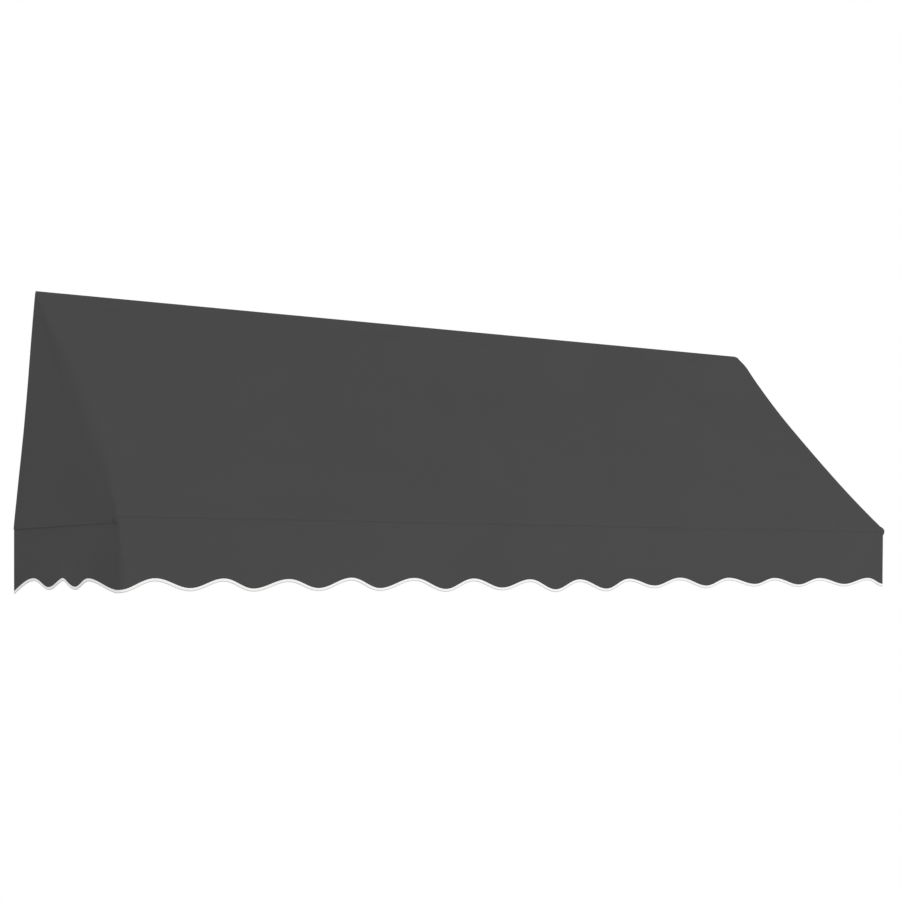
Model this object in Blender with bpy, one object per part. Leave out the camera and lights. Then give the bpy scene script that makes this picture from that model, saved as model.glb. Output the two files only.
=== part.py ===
"""Window awning with a fold-up frame, held on a wall by its brackets.

Frame of reference: the wall is the plane y = 0 and the awning reaches towards -Y. +X runs to
the right along the wall and +Z is up. The origin is the middle of the centre bracket's back
face, level with the axis of the top rail.
"""

import math

import bmesh
import bpy
from mathutils import Matrix, Vector

# Overall sizes of the awning
CANOPY_WIDTH = 3.5
PROJECTION = 0.86
RISE = 0.833
WALL_STANDOFF = 0.035

# Cloth
CLOTH = 0.002
SLOPE_SAG = 0.030
SAG_PLACE = 0.40
SAG_FULLNESS = 2.8
TUNNEL_EASE = 0.0006
TUNNEL_SEAM = 0.055
RAIL_EDGE_INSET = 0.034
VALANCE_DROP = 0.200
SCALLOP_DEPTH = 0.033
HEM_SWING_IN = 0.016
HEM_SWING_OUT = 0.030
FRONT_SCALLOPS = 14
SIDE_SCALLOPS = 3
BINDING_HEIGHT = 0.010
BINDING_THICKNESS = 0.0032
WING_FLARE = 0.040
WING_REAR_DROP = 0.016
WING_WALL_GAP = 0.012

# Top rail and its brackets
RAIL_RADIUS = 0.014
RAIL_WALL = 0.0012
RAIL_CAP_INSET = 0.030
CAP_HEAD = 0.004
CAP_CHAMFER = 0.6
BRACKET_SPACING = 1.45
BRACKET_WIDTH = 0.032
BRACKET_ABOVE_RAIL = 0.014
BRACKET_BELOW_RAIL = 0.086
BRACKET_PLATE = 0.004
BRACKET_HOLE_SPACING = 0.034
BRACKET_HOLE_MARGIN = 0.016
CRADLE_THICKNESS = 0.003
CRADLE_TOP_DEG = 35
CRADLE_FRONT_DEG = -125
NECK_HEIGHT = 0.014
NOTCH_MARGIN = 0.012

# Front bar, its collars and its caps
BAR_RADIUS = 0.015
BAR_WALL = 0.0012
BAR_END_INSET = 0.004
BAR_CAP_RADIUS = 0.018
BAR_CAP_LENGTH = 0.012
COLLAR_WIDTH = 0.011
COLLAR_WALL = 0.0042
TUBE_PLUG_LENGTH = 0.030
JOINT_SLEEVE_LENGTH = 0.140

# Arms and their wall brackets
ARM_INSET = 0.050
ARM_RADIUS = 0.0125
ARM_WALL = 0.0015
EYE_WALL = 0.0045
EYE_WIDTH = 0.024
TONGUE_THICKNESS = 0.008
TONGUE_HEIGHT = 0.024
TONGUE_LENGTH = 0.034
EAR_THICKNESS = 0.004
EAR_HEIGHT = 0.040
EAR_NOSE_RADIUS = 0.016
ARM_PLATE_WIDTH = 0.060
ARM_PLATE_HEIGHT = 0.130
ARM_PLATE_THICKNESS = 0.005
ARM_HOLE_SPACING_X = 0.036
ARM_HOLE_SPACING_Z = 0.094
BOLT_RADIUS = 0.004
BOLT_HEAD_RADIUS = 0.0075
BOLT_HEAD_LENGTH = 0.0053
WASHER_RADIUS = 0.009
WASHER_THICKNESS = 0.0016
NUT_RADIUS = 0.0075
NUT_LENGTH = 0.0065
WALL_SCREW_RADIUS = 0.003
RAIL_SCREW_RADIUS = 0.002
RAIL_SCREW_HEAD = 0.004
RAIL_SCREW_HEAD_HEIGHT = 0.0025

# Clearances
TOUCH_GAP = 0.0003
RUNNING_GAP = 0.0005
HOLE_GAP = 0.0004

# Mesh fineness
TUBE_SIDES = 24
SMALL_SIDES = 12
HEX_SIDES = 6
SLOPE_STEPS = 16
CANOPY_COLUMNS = 8
SCALLOP_STEPS = 8
WING_ROWS = 6

RAIL_AXIS = Vector((0.0, -WALL_STANDOFF, 0.0))
PIVOT = Vector((0.0, -WALL_STANDOFF, -RISE))
BAR_AXIS = Vector((0.0, -WALL_STANDOFF - PROJECTION, -RISE))
HALF_WIDTH = CANOPY_WIDTH / 2
RAIL_EDGE = HALF_WIDTH - RAIL_EDGE_INSET
RAIL_HALF = RAIL_EDGE - RAIL_CAP_INSET - CAP_HEAD
ARM_X = HALF_WIDTH - ARM_INSET
BAR_HALF = HALF_WIDTH - BAR_END_INSET - BAR_CAP_LENGTH
EYE_BORE = BAR_RADIUS + RUNNING_GAP
EYE_RADIUS = EYE_BORE + EYE_WALL
COLLAR_BORE = BAR_RADIUS + TOUCH_GAP
COLLAR_RADIUS = COLLAR_BORE + COLLAR_WALL
TUNNEL_HALF = ARM_X - EYE_WIDTH / 2 - TOUCH_GAP - COLLAR_WIDTH - TOUCH_GAP
RAIL_TUNNEL_RADIUS = RAIL_RADIUS + TUNNEL_EASE + CLOTH / 2
CRADLE_BORE = RAIL_RADIUS + TOUCH_GAP
CRADLE_RADIUS = CRADLE_BORE + CRADLE_THICKNESS
BAR_WRAP_RADIUS = max(EYE_RADIUS, COLLAR_RADIUS, BAR_CAP_RADIUS) + RUNNING_GAP + CLOTH / 2
SLOPE_DIRECTION = (BAR_AXIS - RAIL_AXIS).normalized()
SLOPE_NORMAL = Vector((0.0, SLOPE_DIRECTION.z, -SLOPE_DIRECTION.y))


def clear_scene():
    for item in list(bpy.data.objects):
        bpy.data.objects.remove(item, do_unlink=True)


def make_material(name, colour, roughness, metallic):
    material = bpy.data.materials.new(name)
    material.use_nodes = True
    shader = material.node_tree.nodes["Principled BSDF"]
    shader.inputs["Base Color"].default_value = (*colour, 1.0)
    shader.inputs["Roughness"].default_value = roughness
    shader.inputs["Metallic"].default_value = metallic
    return material


def place(name, bm, material, origin=Vector()):
    """Turn a bmesh in world coordinates into an object whose origin is the given point."""
    bmesh.ops.remove_doubles(bm, verts=bm.verts, dist=0.00001)
    bmesh.ops.recalc_face_normals(bm, faces=bm.faces)
    bmesh.ops.translate(bm, verts=bm.verts, vec=-origin)
    mesh = bpy.data.meshes.new(name)
    bm.to_mesh(mesh)
    bm.free()
    mesh.shade_smooth()
    mesh.set_sharp_from_angle(angle=math.radians(35))
    mesh.materials.append(material)
    item = bpy.data.objects.new(name, mesh)
    item.location = origin
    bpy.context.collection.objects.link(item)
    return item


def subtract(item, cutter):
    cutter.hide_render = True
    cutter.display_type = "WIRE"
    cut = item.modifiers.new("cut " + cutter.name, "BOOLEAN")
    cut.operation = "DIFFERENCE"
    cut.solver = "EXACT"
    cut.object = cutter


def join_solid(item, addition):
    addition.hide_render = True
    addition.display_type = "WIRE"
    join = item.modifiers.new("join " + addition.name, "BOOLEAN")
    join.operation = "UNION"
    join.solver = "EXACT"
    join.object = addition


def ring_points(axis, centre, radius, along, sides):
    """Points of a circle round an X, Y or Z axis, at a distance along that axis."""
    points = []
    for step in range(sides):
        angle = 2 * math.pi * step / sides
        first = radius * math.cos(angle)
        second = radius * math.sin(angle)
        if axis == "X":
            points.append(centre + Vector((along, first, second)))
        elif axis == "Y":
            points.append(centre + Vector((first, along, second)))
        else:
            points.append(centre + Vector((first, second, along)))
    return points


def turned(bm, axis, centre, profile, sides, hollow=False):
    """Rings of a profile of (distance along the axis, radius), capped unless it is hollow."""
    loops = []
    for along, radius in profile:
        loops.append([bm.verts.new(p) for p in ring_points(axis, centre, radius, along, sides)])
    pairs = list(zip(loops, loops[1:]))
    if hollow:
        pairs.append((loops[-1], loops[0]))
    for lower, upper in pairs:
        for step in range(sides):
            after = (step + 1) % sides
            bm.faces.new((lower[step], lower[after], upper[after], upper[step]))
    if not hollow:
        bm.faces.new(loops[0])
        bm.faces.new(loops[-1])


def tube(bm, axis, centre, start, end, radius, wall, sides=TUBE_SIDES):
    profile = [(start, radius), (end, radius), (end, radius - wall), (start, radius - wall)]
    turned(bm, axis, centre, profile, sides, hollow=True)


def rod(bm, axis, centre, start, end, radius, sides=TUBE_SIDES):
    turned(bm, axis, centre, [(start, radius), (end, radius)], sides)


def box(bm, low, high):
    middle = (low + high) / 2
    size = high - low
    matrix = Matrix.Translation(middle) @ Matrix.Diagonal((*size, 1.0))
    bmesh.ops.create_cube(bm, size=1.0, matrix=matrix)


def extruded(bm, outline, start, end):
    """A closed outline of (y, z) points carried along X."""
    near = [bm.verts.new((start, y, z)) for y, z in outline]
    far = [bm.verts.new((end, y, z)) for y, z in outline]
    bm.faces.new(near)
    bm.faces.new(far)
    for step in range(len(outline)):
        after = (step + 1) % len(outline)
        bm.faces.new((near[step], near[after], far[after], far[step]))


def arc(centre, radius, start_deg, end_deg, steps):
    """Points of (y, z) on an arc; 0 degrees points to the wall and 90 degrees up."""
    points = []
    for step in range(steps + 1):
        angle = math.radians(start_deg + (end_deg - start_deg) * step / steps)
        points.append((centre.y + radius * math.cos(angle), centre.z + radius * math.sin(angle)))
    return points


def sheet_solid(bm, middle, thickness):
    """A closed cloth solid round a grid of middle points, half its thickness to each side."""
    rows = len(middle)
    columns = len(middle[0])
    sides = []
    for sign in (1, -1):
        layer = []
        for i in range(rows):
            line = []
            for j in range(columns):
                down = middle[min(i + 1, rows - 1)][j] - middle[max(i - 1, 0)][j]
                across = middle[i][min(j + 1, columns - 1)] - middle[i][max(j - 1, 0)]
                normal = down.cross(across).normalized()
                line.append(bm.verts.new(middle[i][j] + normal * (sign * thickness / 2)))
            layer.append(line)
        sides.append(layer)
    top, bottom = sides
    for i in range(rows - 1):
        for j in range(columns - 1):
            for layer in (top, bottom):
                bm.faces.new((layer[i][j], layer[i][j + 1], layer[i + 1][j + 1], layer[i + 1][j]))
    for i in range(rows - 1):
        for j in (0, columns - 1):
            bm.faces.new((top[i][j], top[i + 1][j], bottom[i + 1][j], bottom[i][j]))
    for j in range(columns - 1):
        for i in (0, rows - 1):
            bm.faces.new((top[i][j], top[i][j + 1], bottom[i][j + 1], bottom[i][j]))


def slope_sag(share):
    """Sag below the straight line from rail to bar: deepest at SAG_PLACE, nothing at the ends."""
    if share < SAG_PLACE:
        return SLOPE_SAG * math.sin(math.pi / 2 * share / SAG_PLACE)
    return SLOPE_SAG * (1 - ((share - SAG_PLACE) / (1 - SAG_PLACE)) ** SAG_FULLNESS)


def slope_point(share):
    """Middle of the cloth on the slope, from the rail (0) to the bar (1), as (y, z)."""
    start = RAIL_AXIS + SLOPE_NORMAL * RAIL_TUNNEL_RADIUS
    end = BAR_AXIS + SLOPE_NORMAL * BAR_WRAP_RADIUS
    return start.lerp(end, share) - SLOPE_NORMAL * slope_sag(share)


def edge_half_width(share):
    return RAIL_EDGE + (HALF_WIDTH - RAIL_EDGE) * share


def canopy_profile():
    """Cloth middle from the tunnel's seam round the rail and down the slope to the bar's front.

    Each entry is a point and the half width of the cloth there.
    """
    entries = []
    seam = slope_point(TUNNEL_SEAM) - SLOPE_NORMAL * (CLOTH + 2 * TOUCH_GAP)
    tunnel_half = RAIL_HALF - CAP_HEAD
    entries.append((seam, tunnel_half))
    for y, z in arc(RAIL_AXIS, RAIL_TUNNEL_RADIUS, -70, 120, 13):
        entries.append((Vector((0.0, y, z)), tunnel_half))
    for step in range(SLOPE_STEPS + 1):
        share = step / SLOPE_STEPS
        entries.append((slope_point(share), edge_half_width(share)))
    for y, z in arc(BAR_AXIS, BAR_WRAP_RADIUS, 150, 180, 2):
        entries.append((Vector((0.0, y, z)), HALF_WIDTH))
    return entries


def build_canopy(material):
    bm = bmesh.new()
    grid = []
    for point, half in canopy_profile():
        row = []
        for column in range(CANOPY_COLUMNS + 1):
            x = half * (2 * column / CANOPY_COLUMNS - 1)
            row.append(Vector((x, point.y, point.z)))
        grid.append(row)
    sheet_solid(bm, grid, CLOTH)
    canopy = place("canopy", bm, material)
    half = BRACKET_WIDTH / 2 + NOTCH_MARGIN
    reach = CRADLE_RADIUS + CLOTH
    top = CRADLE_RADIUS * math.sin(math.radians(CRADLE_TOP_DEG)) + CLOTH
    for number, x in enumerate(bracket_places()):
        axis = RAIL_AXIS + Vector((x, 0.0, 0.0))
        notch = bmesh.new()
        box(notch, axis - Vector((half, 0.0, 3 * reach)), axis + Vector((half, 2 * reach, top)))
        subtract(canopy, place("back_notch_%d" % number, notch, material))
        notch = bmesh.new()
        box(notch, axis - Vector((half, reach, 3 * reach)),
            axis + Vector((half, reach / 2, -RAIL_RADIUS / 2)))
        subtract(canopy, place("lower_notch_%d" % number, notch, material))
    return canopy


def bracket_places():
    return (-BRACKET_SPACING, 0.0, BRACKET_SPACING)


def build_rail(steel, plastic, zinc):
    inner = RAIL_RADIUS - RAIL_WALL
    for side, name in ((-1, "left"), (1, "right")):
        bm = bmesh.new()
        tube(bm, "X", RAIL_AXIS, side * TOUCH_GAP / 2, side * RAIL_HALF, RAIL_RADIUS, RAIL_WALL)
        place("rail_tube_" + name, bm, steel)
        bm = bmesh.new()
        plug = inner - TOUCH_GAP
        turned(bm, "X", RAIL_AXIS, [
            (side * (RAIL_HALF - TUBE_PLUG_LENGTH), plug),
            (side * (RAIL_HALF + TOUCH_GAP), plug),
            (side * (RAIL_HALF + TOUCH_GAP), RAIL_RADIUS),
            (side * (RAIL_HALF + CAP_HEAD * CAP_CHAMFER), RAIL_RADIUS),
            (side * (RAIL_HALF + CAP_HEAD), RAIL_RADIUS * 0.86),
        ], TUBE_SIDES)
        place("rail_end_cap_" + name, bm, plastic)
    bm = bmesh.new()
    half = JOINT_SLEEVE_LENGTH / 2
    tube(bm, "X", RAIL_AXIS, -half, half, inner - TOUCH_GAP, RAIL_WALL)
    place("rail_joint_sleeve", bm, steel)
    for number, x in enumerate(bracket_places()):
        build_rail_bracket(("left", "middle", "right")[number], x, steel, zinc)


def build_rail_bracket(name, x, steel, zinc):
    """A pressed plate whose cradle holds the rail from behind and below."""
    half_neck = math.degrees(math.asin(NECK_HEIGHT / 2 / CRADLE_RADIUS))
    outline = [(0.0, BRACKET_ABOVE_RAIL), (-BRACKET_PLATE, BRACKET_ABOVE_RAIL)]
    outline += [(-BRACKET_PLATE, NECK_HEIGHT / 2)]
    outline += arc(RAIL_AXIS, CRADLE_RADIUS, half_neck, CRADLE_TOP_DEG, 2)
    outline += arc(RAIL_AXIS, CRADLE_BORE, CRADLE_TOP_DEG, CRADLE_FRONT_DEG, 12)
    outline += arc(RAIL_AXIS, CRADLE_RADIUS, CRADLE_FRONT_DEG, -half_neck, 9)
    outline += [(-BRACKET_PLATE, -NECK_HEIGHT / 2)]
    outline += [(-BRACKET_PLATE, -BRACKET_BELOW_RAIL), (0.0, -BRACKET_BELOW_RAIL)]
    bm = bmesh.new()
    extruded(bm, outline, x - BRACKET_WIDTH / 2, x + BRACKET_WIDTH / 2)
    bracket = place("rail_bracket_" + name, bm, steel)
    for hole in (0, 1):
        bm = bmesh.new()
        z = BRACKET_HOLE_MARGIN + hole * BRACKET_HOLE_SPACING - BRACKET_BELOW_RAIL
        centre = Vector((x, 0.0, z))
        rod(bm, "Y", centre, -3 * BRACKET_PLATE, BRACKET_PLATE, WALL_SCREW_RADIUS, SMALL_SIDES)
        subtract(bracket, place("rail_hole_cutter_%s_%d" % (name, hole), bm, steel))
    bm = bmesh.new()
    top = RAIL_AXIS + Vector((x, 0.0, 0.0))
    rod(bm, "Z", top, -2 * CRADLE_RADIUS, -RAIL_RADIUS / 2, RAIL_SCREW_RADIUS + HOLE_GAP, SMALL_SIDES)
    subtract(bracket, place("rail_screw_cutter_" + name, bm, steel))
    bm = bmesh.new()
    seat = -CRADLE_RADIUS - TOUCH_GAP
    turned(bm, "Z", top, [
        (seat - RAIL_SCREW_HEAD_HEIGHT, RAIL_SCREW_HEAD * 0.6),
        (seat - RAIL_SCREW_HEAD_HEIGHT * CAP_CHAMFER, RAIL_SCREW_HEAD),
        (seat, RAIL_SCREW_HEAD),
        (seat, RAIL_SCREW_RADIUS),
        (-RAIL_RADIUS - TOUCH_GAP, RAIL_SCREW_RADIUS),
    ], SMALL_SIDES)
    place("rail_screw_" + name, bm, zinc)


def build_front_bar(steel, plastic, zinc, cloth):
    inner = BAR_RADIUS - BAR_WALL
    for side, name in ((-1, "left"), (1, "right")):
        bm = bmesh.new()
        tube(bm, "X", BAR_AXIS, side * TOUCH_GAP / 2, side * BAR_HALF, BAR_RADIUS, BAR_WALL)
        place("bar_tube_" + name, bm, steel, BAR_AXIS)
        bm = bmesh.new()
        plug = inner - TOUCH_GAP
        turned(bm, "X", BAR_AXIS, [
            (side * (BAR_HALF - TUBE_PLUG_LENGTH), plug),
            (side * (BAR_HALF + TOUCH_GAP), plug),
            (side * (BAR_HALF + TOUCH_GAP), BAR_CAP_RADIUS * 0.94),
            (side * (BAR_HALF + BAR_CAP_LENGTH * 0.12), BAR_CAP_RADIUS),
            (side * (BAR_HALF + BAR_CAP_LENGTH * 0.65), BAR_CAP_RADIUS),
            (side * (BAR_HALF + BAR_CAP_LENGTH * 0.9), BAR_CAP_RADIUS * 0.88),
            (side * (BAR_HALF + BAR_CAP_LENGTH), BAR_CAP_RADIUS * 0.66),
        ], TUBE_SIDES)
        place("bar_end_cap_" + name, bm, plastic, BAR_AXIS)
        for where, direction in (("inner", -1), ("outer", 1)):
            bm = bmesh.new()
            start = side * (ARM_X + direction * (EYE_WIDTH / 2 + TOUCH_GAP))
            end = start + side * direction * COLLAR_WIDTH
            tube(bm, "X", BAR_AXIS, start, end, COLLAR_RADIUS, COLLAR_WALL)
            place("bar_collar_%s_%s" % (name, where), bm, zinc, BAR_AXIS)
    bm = bmesh.new()
    half = JOINT_SLEEVE_LENGTH / 2
    tube(bm, "X", BAR_AXIS, -half, half, inner - TOUCH_GAP, BAR_WALL)
    place("bar_joint_sleeve", bm, steel, BAR_AXIS)
    build_bar_tunnel(cloth)


def build_bar_tunnel(cloth):
    """The strip behind and under the bar that closes the front tunnel of the cloth."""
    inside = CLOTH + 2 * TOUCH_GAP
    upper = slope_point(1 - TUNNEL_SEAM) - SLOPE_NORMAL * inside
    lower = BAR_AXIS + Vector((0.0, inside - BAR_WRAP_RADIUS, -BAR_WRAP_RADIUS * 0.9))
    path = [upper]
    wrap = BAR_RADIUS + TUNNEL_EASE + CLOTH / 2
    path += [Vector((0.0, y, z)) for y, z in arc(BAR_AXIS, wrap, -15, -86, 5)]
    path.append(lower)
    grid = [[Vector((side * TUNNEL_HALF, p.y, p.z)) for side in (-1, 1)] for p in path]
    bm = bmesh.new()
    sheet_solid(bm, grid, CLOTH)
    place("bar_tunnel", bm, cloth, BAR_AXIS)


def build_arm(side, name, steel, zinc, plastic):
    x = side * ARM_X
    pivot = PIVOT + Vector((x, 0.0, 0.0))
    bar = BAR_AXIS + Vector((x, 0.0, 0.0))
    tube_start = -TONGUE_LENGTH
    tube_end = -(PROJECTION - EYE_RADIUS - TOUCH_GAP)
    plug = ARM_RADIUS - ARM_WALL - TOUCH_GAP

    bm = bmesh.new()
    tube(bm, "Y", pivot, tube_start, tube_end, ARM_RADIUS, ARM_WALL)
    place("arm_tube_" + name, bm, steel, pivot)

    bm = bmesh.new()
    half = TONGUE_THICKNESS / 2
    back = arc(Vector(), TONGUE_HEIGHT / 2, 90, -90, 8)
    front = tube_start + TOUCH_GAP
    outline = back + [(front, -TONGUE_HEIGHT / 2), (front, TONGUE_HEIGHT / 2)]
    outline = [(pivot.y + y, pivot.z + z) for y, z in outline]
    extruded(bm, outline, x - half, x + half)
    tongue = place("arm_tongue_" + name, bm, zinc, pivot)
    bm = bmesh.new()
    rod(bm, "Y", pivot, front + 0.004, tube_start - TUBE_PLUG_LENGTH, plug, SMALL_SIDES)
    join_solid(tongue, place("tongue_plug_" + name, bm, zinc, pivot))
    bm = bmesh.new()
    rod(bm, "X", pivot, -TONGUE_THICKNESS, TONGUE_THICKNESS, BOLT_RADIUS + HOLE_GAP, SMALL_SIDES)
    subtract(tongue, place("tongue_hole_cutter_" + name, bm, zinc, pivot))

    bm = bmesh.new()
    tube(bm, "X", bar, -EYE_WIDTH / 2, EYE_WIDTH / 2, EYE_RADIUS, EYE_WALL)
    eye = place("arm_eye_" + name, bm, zinc, pivot)
    bm = bmesh.new()
    rod(bm, "Y", bar, EYE_RADIUS - EYE_WALL * 0.7, EYE_RADIUS + TUBE_PLUG_LENGTH, plug, SMALL_SIDES)
    join_solid(eye, place("eye_plug_" + name, bm, zinc, pivot))

    build_arm_bracket(side, name, pivot, steel, zinc, plastic)


def build_arm_bracket(side, name, pivot, steel, zinc, plastic):
    """A wall plate with two welded ears, and the bolt that the arm's tongue turns on."""
    washer_gap = WASHER_THICKNESS + 2 * TOUCH_GAP
    inside = TONGUE_THICKNESS / 2 + washer_gap
    outside = inside + EAR_THICKNESS
    plate_half = ARM_PLATE_HEIGHT / 2
    bm = bmesh.new()
    low = Vector((pivot.x - ARM_PLATE_WIDTH / 2, -ARM_PLATE_THICKNESS, pivot.z - plate_half))
    high = Vector((pivot.x + ARM_PLATE_WIDTH / 2, 0.0, pivot.z + plate_half))
    box(bm, low, high)
    bracket = place("arm_bracket_" + name, bm, steel)
    ear_back = -ARM_PLATE_THICKNESS / 2
    for end in (-1, 1):
        bm = bmesh.new()
        outline = [(ear_back, pivot.z + EAR_HEIGHT / 2), (ear_back, pivot.z - EAR_HEIGHT / 2)]
        outline += arc(pivot, EAR_NOSE_RADIUS, -90, -270, 8)
        extruded(bm, outline, pivot.x + end * inside, pivot.x + end * outside)
        join_solid(bracket, place("ear_%s_%d" % (name, end + 1), bm, steel))
    bm = bmesh.new()
    rod(bm, "X", pivot, -2 * outside, 2 * outside, BOLT_RADIUS + HOLE_GAP, SMALL_SIDES)
    subtract(bracket, place("ear_hole_cutter_" + name, bm, steel))
    for row in (-1, 1):
        for column in (-1, 1):
            bm = bmesh.new()
            centre = Vector((pivot.x + column * ARM_HOLE_SPACING_X / 2, 0.0,
                             pivot.z + row * ARM_HOLE_SPACING_Z / 2))
            rod(bm, "Y", centre, -3 * ARM_PLATE_THICKNESS, ARM_PLATE_THICKNESS,
                WALL_SCREW_RADIUS, SMALL_SIDES)
            cutter = place("plate_hole_%s_%d_%d" % (name, row + 1, column + 1), bm, steel)
            subtract(bracket, cutter)

    head = side * (outside + TOUCH_GAP)
    nut_end = -head - side * NUT_LENGTH
    bm = bmesh.new()
    rod(bm, "X", pivot, head, head + side * BOLT_HEAD_LENGTH, BOLT_HEAD_RADIUS, HEX_SIDES)
    bolt = place("pivot_bolt_" + name, bm, zinc)
    bm = bmesh.new()
    shank_end = nut_end - side * BOLT_RADIUS
    rod(bm, "X", pivot, head + side * BOLT_HEAD_LENGTH / 2, shank_end, BOLT_RADIUS, SMALL_SIDES)
    join_solid(bolt, place("bolt_shank_" + name, bm, zinc))
    bm = bmesh.new()
    rod(bm, "X", pivot, -head, nut_end, NUT_RADIUS, HEX_SIDES)
    nut = place("pivot_nut_" + name, bm, zinc)
    bm = bmesh.new()
    rod(bm, "X", pivot, 0.0, 2 * nut_end, BOLT_RADIUS + TOUCH_GAP, SMALL_SIDES)
    subtract(nut, place("nut_bore_cutter_" + name, bm, zinc))
    for end in (-1, 1):
        bm = bmesh.new()
        start = end * (TONGUE_THICKNESS / 2 + TOUCH_GAP)
        wall = WASHER_RADIUS - BOLT_RADIUS - TOUCH_GAP
        tube(bm, "X", pivot, start, start + end * WASHER_THICKNESS, WASHER_RADIUS, wall, SMALL_SIDES)
        place("pivot_washer_%s_%s" % (name, "inner" if end == -side else "outer"), bm, plastic)


def scallop(phase):
    """How far the hem hangs below its highest points: nothing at the arches, all at the lobes."""
    return SCALLOP_DEPTH * (0.5 + 0.5 * math.cos(2 * math.pi * phase))


def hem_offset(share):
    """Plan swing of a side valance's hem, inboard near the wall and outboard near the corner."""
    inboard = HEM_SWING_IN * math.sin(math.pi * min(share / 0.5, 1.0))
    outboard = HEM_SWING_OUT * math.sin(math.pi * max((share - 0.5) / 0.5, 0.0))
    return inboard - outboard


def build_valance_and_binding(name, top_line, hem_line, scallops, cloth, binding):
    """A hanging strip between a top line and a hem line, and the binding below its hem.

    Both lines are functions of the share along the strip that give a point; the hem line is
    the level of the arches, and the scallops hang below it.
    """
    columns = scallops * SCALLOP_STEPS
    strip = [[], [], []]
    band = [[], []]
    down = Vector((0.0, 0.0, -1.0))
    for column in range(columns + 1):
        share = column / columns
        drop = scallop(share * scallops)
        top = top_line(share)
        hem = hem_line(share) + down * drop
        strip[0].append(top)
        strip[1].append(top.lerp(hem, 0.5))
        strip[2].append(hem)
        band[0].append(hem + down * TOUCH_GAP)
        band[1].append(hem + down * (TOUCH_GAP + BINDING_HEIGHT))
    bm = bmesh.new()
    sheet_solid(bm, strip, CLOTH)
    place(name, bm, cloth, BAR_AXIS if name.startswith("front") else Vector())
    bm = bmesh.new()
    sheet_solid(bm, band, BINDING_THICKNESS)
    place(name.replace("valance", "binding"), bm, binding)


def wing_bottom(side, share):
    """The wing's lower edge at arm height, from the wall (0) to the front corner (1)."""
    front_y = BAR_AXIS.y - BAR_WRAP_RADIUS + BINDING_THICKNESS
    x = HALF_WIDTH + WING_FLARE * (1 - share) - CLOTH / 2
    y = -WING_WALL_GAP + (front_y + WING_WALL_GAP) * share
    z = BAR_AXIS.z - WING_REAR_DROP * (1 - share)
    return Vector((side * x, y, z))


def wing_top(side, share):
    """The wing's upper edge, just under the slope's own edge from rail to bar."""
    point = slope_point(share) - SLOPE_NORMAL * (CLOTH / 2 + TOUCH_GAP)
    return Vector((side * (edge_half_width(share) - CLOTH / 2), point.y, point.z))


def build_wing(side, name, cloth, binding):
    bm = bmesh.new()
    grid = []
    for row in range(WING_ROWS + 1):
        line = []
        for column in range(SLOPE_STEPS + 1):
            share = column / SLOPE_STEPS
            fall = row / WING_ROWS
            line.append(wing_top(side, share).lerp(wing_bottom(side, share), fall))
        grid.append(line)
    sheet_solid(bm, grid, CLOTH)
    place("wing_" + name, bm, cloth, PIVOT)

    def top_line(share):
        return wing_bottom(side, share) - Vector((0.0, 0.0, TOUCH_GAP))

    def hem_line(share):
        edge = wing_bottom(side, share)
        inboard = Vector((-side * hem_offset(share), 0.0, 0.0))
        return Vector((edge.x, edge.y, BAR_AXIS.z - VALANCE_DROP)) + inboard

    build_valance_and_binding("side_valance_" + name, top_line, hem_line, SIDE_SCALLOPS, cloth, binding)


def build_front_valance(cloth, binding):
    y = BAR_AXIS.y - BAR_WRAP_RADIUS

    def top_line(share):
        x = CANOPY_WIDTH * (share - 0.5)
        return Vector((x, y, BAR_AXIS.z - 2 * TOUCH_GAP))

    def hem_line(share):
        x = CANOPY_WIDTH * (share - 0.5)
        return Vector((x, y, BAR_AXIS.z - VALANCE_DROP))

    build_valance_and_binding("front_valance", top_line, hem_line, FRONT_SCALLOPS, cloth, binding)


def build_awning():
    steel = make_material("charcoal_powder_coated_steel", (0.035, 0.036, 0.038), 0.5, 0.0)
    zinc = make_material("zinc_plated_steel", (0.62, 0.63, 0.64), 0.35, 1.0)
    plastic = make_material("black_plastic", (0.03, 0.03, 0.032), 0.45, 0.0)
    cloth = make_material("charcoal_polyester", (0.069, 0.069, 0.069), 0.85, 0.0)
    binding = make_material("white_binding", (0.86, 0.86, 0.86), 0.8, 0.0)
    build_rail(steel, plastic, zinc)
    build_front_bar(steel, plastic, zinc, cloth)
    for side, name in ((-1, "left"), (1, "right")):
        build_arm(side, name, steel, zinc, plastic)
        build_wing(side, name, cloth, binding)
    build_canopy(cloth)
    build_front_valance(cloth, binding)


clear_scene()
build_awning()
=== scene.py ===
"""Looks of the window awning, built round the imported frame.

The wall is the plane y = 0, the awning reaches towards -Y, +X runs to the right and +Z is up.
The rail's axis is level with z = 0. Sizes are in metres.
"""

import math

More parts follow.
